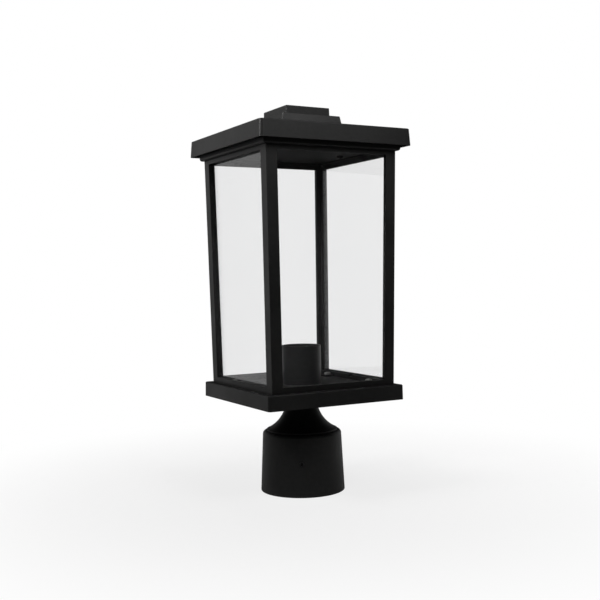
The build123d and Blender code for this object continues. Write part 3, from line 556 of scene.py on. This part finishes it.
def make_from_tree(node, tree, places, **sizes):
    """Run a tree on points, keep the plain mesh in the node's place and let it ride on the node's body."""
    points = bpy.data.meshes.new(node + "_places")
    points.from_pydata(places, [], [])
    carrier = bpy.data.objects.new(node + "_carrier", points)
    bpy.context.scene.collection.objects.link(carrier)
    modifier = carrier.modifiers.new("making", "NODES")
    modifier.node_group = tree
    sizes["Finish"] = FINISHES[SLOT_OF[node]]
    named = {item.name.replace(" ", "_"): item.identifier for item in tree.interface.items_tree
             if item.in_out == "INPUT"}
    for label, value in sizes.items():
        modifier[named[label]] = value
    depsgraph = bpy.context.evaluated_depsgraph_get()
    mesh = bpy.data.meshes.new_from_object(carrier.evaluated_get(depsgraph), depsgraph=depsgraph)
    carrier.modifiers.remove(modifier)
    bpy.data.objects.remove(carrier)
    piece = bpy.data.objects.new(node + "_made", mesh)
    bpy.context.scene.collection.objects.link(piece)
    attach(piece, BODY_OF[node])
    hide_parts(node)
    return piece


# Metric screws: shank and head radius, head height and pitch
M3 = {"shank": 1.5 * MM, "radius": 2.75 * MM, "head": 1.8 * MM, "pitch": 0.5 * MM}
M4 = {"shank": 2.0 * MM, "radius": 3.6 * MM, "head": 2.4 * MM, "pitch": 0.7 * MM}
M5 = {"shank": 2.5 * MM, "radius": 4.5 * MM, "head": 3.0 * MM, "pitch": 0.8 * MM}
THREAD_DEPTH_SHARE = 0.61
RINGS_PER_PITCH = 8
LEAST_RINGS = 8
CROWN_SHARE = 0.4
DRIVE_SPAN_SHARE = 1.1
DRIVE_DEPTH_SHARE = 0.55
DRIVE_WIDTH = 0.8 * MM
THIRTY_DEGREES = math.radians(30)
PAIR = (-1, 1)


def fit_screws(tree, node, size, layout, flush=False, head_down=False):
    """Screws in the CAD screws' places, read from the node's box."""
    low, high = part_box(node)
    radius, head = size["radius"], size["head"]
    sunk = 0.0 if flush else head
    seat = low[2] + sunk if head_down else high[2] - sunk
    length = high[2] - seat if head_down else seat - low[2]
    reach_x, reach_y = high[0] - radius, high[1] - radius
    spots = {
        "corners": [(sx * reach_x, sy * reach_y) for sx in PAIR for sy in PAIR],
        "sides": [(reach_x, 0), (0, reach_y), (-reach_x, 0), (0, -reach_y)],
        "three": [(sx * reach_x, reach_x * math.tan(THIRTY_DEGREES)) for sx in PAIR]
                 + [(0, -reach_x / math.cos(THIRTY_DEGREES))],
        "pair_x": [(reach_x, 0), (-reach_x, 0)],
        "pair_y": [(0, reach_y), (0, -reach_y)],
        "one": [((low[0] + high[0]) / 2, (low[1] + high[1]) / 2)],
    }[layout]
    cone = radius - size["shank"]
    return make_from_tree(
        node, tree, [(x, y, seat) for x, y in spots],
        Shank_Radius=size["shank"], Shank_Length=length, Pitch=size["pitch"],
        Thread_Depth=size["pitch"] * THREAD_DEPTH_SHARE,
        Rings=max(LEAST_RINGS, round(length / size["pitch"] * RINGS_PER_PITCH)),
        Head_Radius=radius, Head_Foot_Radius=size["shank"] if flush else radius,
        Head_Height=cone if flush else head, Head_Foot=-cone if flush else 0.0,
        Crown=0.0 if flush else head * CROWN_SHARE,
        Drive_Span=radius * DRIVE_SPAN_SHARE, Drive_Width=DRIVE_WIDTH,
        Drive_Depth=head * DRIVE_DEPTH_SHARE, Turn=math.pi if head_down else 0.0)


def fit_fasteners():
    """Every screw and bolt of the lantern, with threads and cross drives."""
    screw = machine_screw_tree()
    fit_screws(screw, "cage_bolts", M4, "corners")
    fit_screws(screw, "ceiling_screws", M4, "sides", head_down=True)
    fit_screws(screw, "post_head_screws", M3, "corners")
    fit_screws(screw, "post_foot_screws", M3, "corners", flush=True, head_down=True)
    fit_screws(screw, "neck_screws", M4, "three", flush=True, head_down=True)
    fit_screws(screw, "roof_screws", M4, "corners", flush=True, head_down=True)
    fit_screws(screw, "cap_screw", M5, "one", head_down=True)
    fit_screws(screw, "holder_screws", M3, "pair_x")
    fit_screws(screw, "terminal_screws", M3, "pair_y", head_down=True)
    fit_screws(screw, "ground_screw", M4, "one", head_down=True)


THUMB_NUT_RADIUS = 6.5 * MM
THUMB_NUT_BORE = 2.06 * MM
KNURL_DEPTH = 0.35 * MM
THUMB_NUT_EASE = 0.6 * MM
KNURL_TEETH = 40


def fit_thumb_nuts():
    """Knurled nuts under the tray."""
    low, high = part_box("thumb_nuts")
    middle = (low[2] + high[2]) / 2
    reach_x, reach_y = high[0] - THUMB_NUT_RADIUS, high[1] - THUMB_NUT_RADIUS
    spots = [(sx * reach_x, sy * reach_y, middle) for sx in PAIR for sy in PAIR]
    make_from_tree("thumb_nuts", thumb_nut_tree(), spots, Radius=THUMB_NUT_RADIUS,
                   Thickness=high[2] - low[2], Bore=THUMB_NUT_BORE, Knurl_Depth=KNURL_DEPTH,
                   Eased_End=THUMB_NUT_EASE, Teeth=KNURL_TEETH)


PIPE_PITCH = 1.0 * MM
PIPE_THREAD_DEPTH = 0.55 * MM
PIPE_BORE = 3.6 * MM
PIPE_RINGS = 200


def fit_pipe():
    """Threaded pipe through neck, tray and lamp cup."""
    low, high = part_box("pipe_nipple")
    middle = [(0, 0, (low[2] + high[2]) / 2)]
    make_from_tree("pipe_nipple", threaded_pipe_tree(), middle, Radius=high[0],
                   Length=high[2] - low[2], Pitch=PIPE_PITCH, Thread_Depth=PIPE_THREAD_DEPTH,
                   Bore=PIPE_BORE, Rings=PIPE_RINGS)


LAMP_PITCH = 3.63 * MM
LAMP_THREAD_WAVE = 0.9 * MM
SHELL_CLEARANCE = 0.05 * MM
SHELL_RINGS = 80
SHELL_SHEET = 0.4 * MM


def fit_screw_shell():
    """Sheet shell rolled into the lamp's thread."""
    low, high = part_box("screw_shell")
    middle = [(0, 0, (low[2] + high[2]) / 2)]
    shell = make_from_tree("screw_shell", lamp_thread_tree(), middle,
                           Radius=high[0] - SHELL_CLEARANCE, Length=high[2] - low[2],
                           Pitch=LAMP_PITCH, Wave=LAMP_THREAD_WAVE, Rings=SHELL_RINGS)
    wall = shell.modifiers.new("sheet", "SOLIDIFY")
    wall.thickness = SHELL_SHEET
    wall.offset = -1


SPRING_WIRE_RADIUS = 0.275 * MM
SPRING_TURNS = 2.5


def fit_contact_spring():
    """Coil spring under the centre contact; it shortens as the lamp presses the contact."""
    low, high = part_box("contact_spring")
    spring = make_from_tree("contact_spring", coil_tree(), [(0, 0, low[2] + SPRING_WIRE_RADIUS)],
                            Coil_Radius=high[0] - SPRING_WIRE_RADIUS,
                            Wire_Radius=SPRING_WIRE_RADIUS,
                            Height=high[2] - low[2] - 2 * SPRING_WIRE_RADIUS, Turns=SPRING_TURNS)
    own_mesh(spring)


fit_fasteners()
fit_thumb_nuts()
fit_pipe()
fit_screw_shell()
fit_contact_spring()

# ---------------------------------------------------------------- studio


def white_for_sight(tree, path):
    """1 for what is looked at straight, or through glass; 0 for light and reflections."""
    unreflected = calc(tree, "LESS_THAN", path.outputs["Glossy Depth"], 0.5)
    through = times(tree, path.outputs["Is Transmission Ray"], unreflected)
    return calc(tree, "MAXIMUM", path.outputs["Is Camera Ray"], through)


# Directions in the studio, seen from the photo's side
STRAIGHT_BEHIND = (0.486, 0.874, 0.0)
LEFT_OF_BEHIND = (-0.874, 0.486, 0.0)
STRAIGHT_UP = (0, 0, 1)

# Soft edges of the two white screens, as shares of each direction
SCREEN_FRONT_EDGE = (0.10, 0.45)
SCREEN_INNER_EDGE = (0.15, 0.40)
SCREEN_TOP_EDGE = (0.20, 0.50)
STUDIO_WHITE = 0.55
STUDIO_DIM = 0.02
AMBIENT = 0.16


def studio_air():
    """White to the eye; reflections see a white screen on either side behind, in a dim room."""
    world = bpy.data.worlds.new("studio_air")
    bpy.context.scene.world = world
    world.use_nodes = True
    tree = world.node_tree
    path = add(tree, "ShaderNodeLightPath")
    sight = white_for_sight(tree, path)
    direction = add(tree, "ShaderNodeTexCoord").outputs["Generated"]
    behind = ramp(tree, along(tree, direction, STRAIGHT_BEHIND), *SCREEN_FRONT_EDGE)
    sideways = calc(tree, "ABSOLUTE", along(tree, direction, LEFT_OF_BEHIND))
    beside = ramp(tree, sideways, *SCREEN_INNER_EDGE)
    upright = calc(tree, "ABSOLUTE", along(tree, direction, STRAIGHT_UP))
    level_view = ramp(tree, upright, *SCREEN_TOP_EDGE, 1.0, 0.0)
    screen = times(tree, times(tree, behind, beside), level_view)
    room = plus(tree, times(tree, screen, STUDIO_WHITE), STUDIO_DIM)
    diffuse = path.outputs["Is Diffuse Ray"]
    light = times(tree, diffuse, AMBIENT)
    mirrored = times(tree, minus(tree, 1.0, diffuse), room)
    strength = calc(tree, "MAXIMUM", sight, plus(tree, light, mirrored))
    tree.links.new(strength, tree.nodes["Background"].inputs["Strength"])
    tree.nodes["Background"].inputs["Color"].default_value = (1, 1, 1, 1)


FLOOR_RADIUS = 0.60
FADE_START = 0.05
FADE_END = FLOOR_RADIUS * 0.8
SHADOW_SHARE = 0.22
FLOOR_TONES = ((0.86, 0.86, 0.86), (0.90, 0.90, 0.90))


def studio_floor():
    """Round pale floor that keeps the shadow and fades into the white air at its edge."""
    bpy.ops.mesh.primitive_circle_add(vertices=96, radius=FLOOR_RADIUS, fill_type="NGON")
    floor = bpy.context.object
    floor.name = "studio_floor"
    material, tree, shader = new_material("pale_floor")
    place = object_place(tree)
    shader.inputs["Roughness"].default_value = 0.9
    shader.inputs["Specular IOR Level"].default_value = 0.0
    colour = two_tones(tree, noise(tree, place, 40.0), *FLOOR_TONES)
    tree.links.new(colour, shader.inputs["Base Color"])
    sight = white_for_sight(tree, add(tree, "ShaderNodeLightPath"))
    reach = add(tree, "ShaderNodeVectorMath", {"operation": "LENGTH"})
    tree.links.new(place, reach.inputs[0])
    fade = ramp(tree, reach.outputs["Value"], FADE_START, FADE_END, 1 - SHADOW_SHARE, 1.0)
    glow = add(tree, "ShaderNodeEmission", {}, Strength=1.0)
    mix = add(tree, "ShaderNodeMixShader")
    tree.links.new(times(tree, sight, fade), mix.inputs[0])
    tree.links.new(shader.outputs[0], mix.inputs[1])
    tree.links.new(glow.outputs[0], mix.inputs[2])
    tree.links.new(mix.outputs[0], tree.nodes["Material Output"].inputs["Surface"])
    floor.data.materials.append(material)


SOFT_BOX_SIZE = 0.30


def soft_box(name, place, aim, watts, fan):
    """Square soft light, turned towards a point; a grid keeps its fan of light narrow."""
    light = bpy.data.lights.new(name, "AREA")
    light.shape = "SQUARE"
    light.size = SOFT_BOX_SIZE
    light.energy = watts
    light.spread = math.radians(fan)
    box = bpy.data.objects.new(name, light)
    bpy.context.scene.collection.objects.link(box)
    box.location = place
    box.rotation_euler = (Vector(aim) - Vector(place)).to_track_quat("-Z", "Y").to_euler()


studio_air()
studio_floor()
soft_box("front_softbox", place=(0.12, -0.55, 0.74), aim=(0.03, -0.08, 0.39), watts=0.36, fan=60.0)
soft_box("left_softbox", place=(-0.55, 0.0, 0.70), aim=(-0.08, 0.0, 0.41), watts=0.66, fan=52.0)

# ---------------------------------------------------------------- camera

# Metres and degrees; the camera looks over the object's axis, then pans, tilts and rolls
CAMERA_TURN = math.radians(-28.84)
CAMERA_REACH = 0.9505
CAMERA_HEIGHT = 0.2212
CAMERA_PAN = math.radians(0.025)
CAMERA_TILT = math.radians(-1.51)
CAMERA_ROLL = math.radians(-1.05)
SENSOR = 36.0
LENS = 55.08


def photo_camera():
    """Camera at the photo's viewing angle: left of the front, tipped slightly down."""
    data = bpy.data.cameras.new("photo_camera")
    data.sensor_fit = "HORIZONTAL"
    data.sensor_width = SENSOR
    data.lens = LENS
    camera = bpy.data.objects.new("photo_camera", data)
    bpy.context.scene.collection.objects.link(camera)
    ahead = Vector((-math.sin(CAMERA_TURN), math.cos(CAMERA_TURN), 0))
    right = Vector((math.cos(CAMERA_TURN), math.sin(CAMERA_TURN), 0))
    up = Vector((0, 0, 1))
    camera.location = -CAMERA_REACH * ahead + CAMERA_HEIGHT * up
    ahead, right = (ahead * math.cos(CAMERA_PAN) + right * math.sin(CAMERA_PAN),
                    right * math.cos(CAMERA_PAN) - ahead * math.sin(CAMERA_PAN))
    ahead, up = (ahead * math.cos(CAMERA_TILT) + up * math.sin(CAMERA_TILT),
                 up * math.cos(CAMERA_TILT) - ahead * math.sin(CAMERA_TILT))
    right, up = (right * math.cos(CAMERA_ROLL) + up * math.sin(CAMERA_ROLL),
                 up * math.cos(CAMERA_ROLL) - right * math.sin(CAMERA_ROLL))
    axes = Matrix((right, up, -ahead)).transposed()
    camera.rotation_euler = axes.to_euler()
    bpy.context.scene.camera = camera


photo_camera()
bpy.context.scene.view_settings.view_transform = "Standard"
